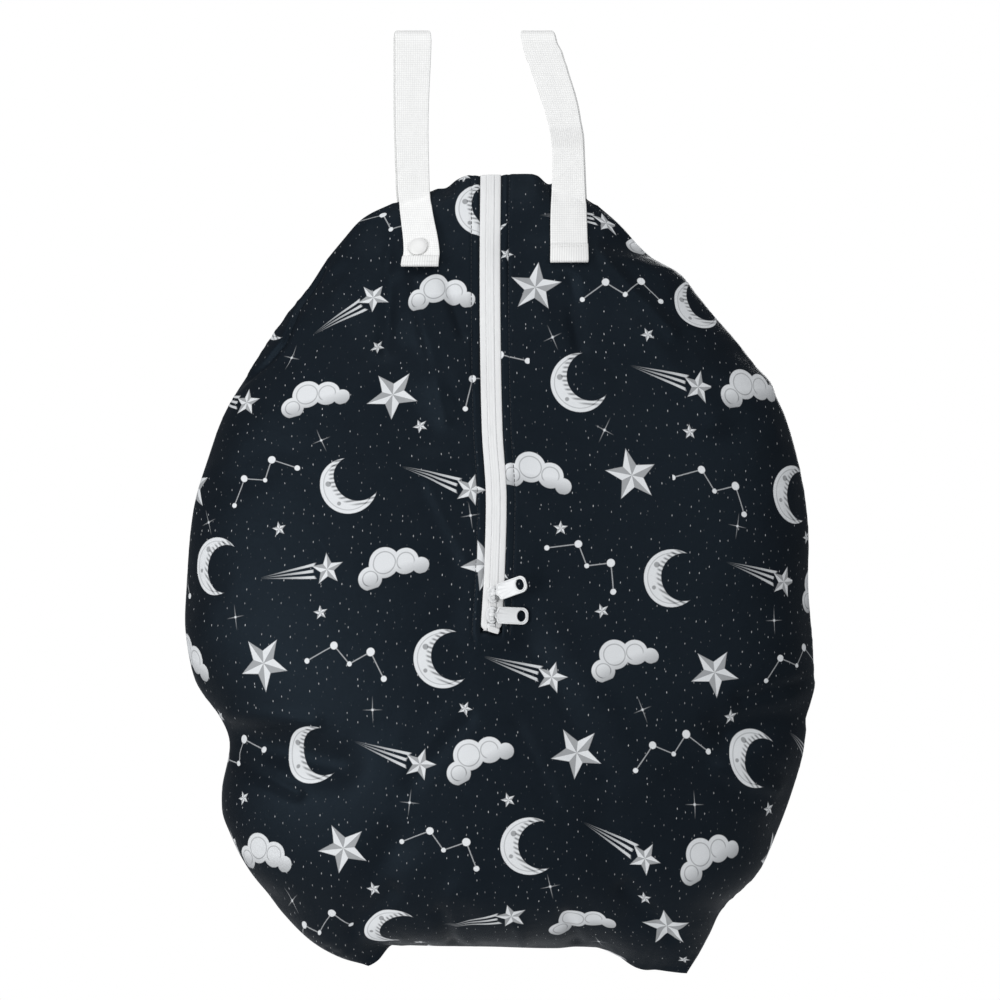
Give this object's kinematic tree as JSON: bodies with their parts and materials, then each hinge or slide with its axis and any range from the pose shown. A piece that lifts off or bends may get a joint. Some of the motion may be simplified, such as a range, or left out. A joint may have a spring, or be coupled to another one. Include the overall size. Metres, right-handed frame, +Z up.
{
  "type": "cloth diaper wet bag",
  "caption": "Hanging wet bag for cloth diapers: a filled, dark printed cloth bag with a white zip down its front and webbing loops at its top.",
  "frame": {"origin": "on the axis of the rail that the bag hangs on, inside the crowns of both webbing loops", "axes": "+Z up, +X to the right seen from the front, along the rail, +Y from the zipped front to the back"},
  "size_m": [0.4491, 0.1787, 0.6714],
  "materials": {
    "printed_cloth": "smooth woven polyester with a soft sheen, near-black blue with a printed night sky of stars, moons and comets in off-white and grey",
    "webbing": "matt white woven webbing",
    "zip": "matt white woven zip tape and moulded coil",
    "white_plastic": "smooth white enamel and moulded plastic"
  },
  "bodies": {
    "bag": {"bag_front": "printed_cloth", "bag_back": "printed_cloth", "zip_tape_left": "zip", "zip_tape_right": "zip", "zip_coil": "zip", "zip_end_stop": "white_plastic", "slider_upper": "white_plastic", "slider_lower": "white_plastic", "strap_left": "webbing", "strap_right": "webbing", "snap_cap": "white_plastic", "snap_base": "white_plastic"},
    "upper_tab": {"pull_upper": "white_plastic"},
    "lower_tab": {"pull_lower": "white_plastic"}
  },
  "joints": [
    {"name": "upper_tab_hinge", "type": "hinge", "parent": "bag", "child": "upper_tab", "pos_m": [-0.00476, -0.0891, -0.39423], "axis": [0, -0.0941, -0.9956], "range_deg": [-24, 160]},
    {"name": "lower_tab_hinge", "type": "hinge", "parent": "bag", "child": "lower_tab", "pos_m": [-0.00571, -0.09027, -0.40887], "axis": [0, -0.0657, -0.9978], "range_deg": [0, 188]}
  ]
}
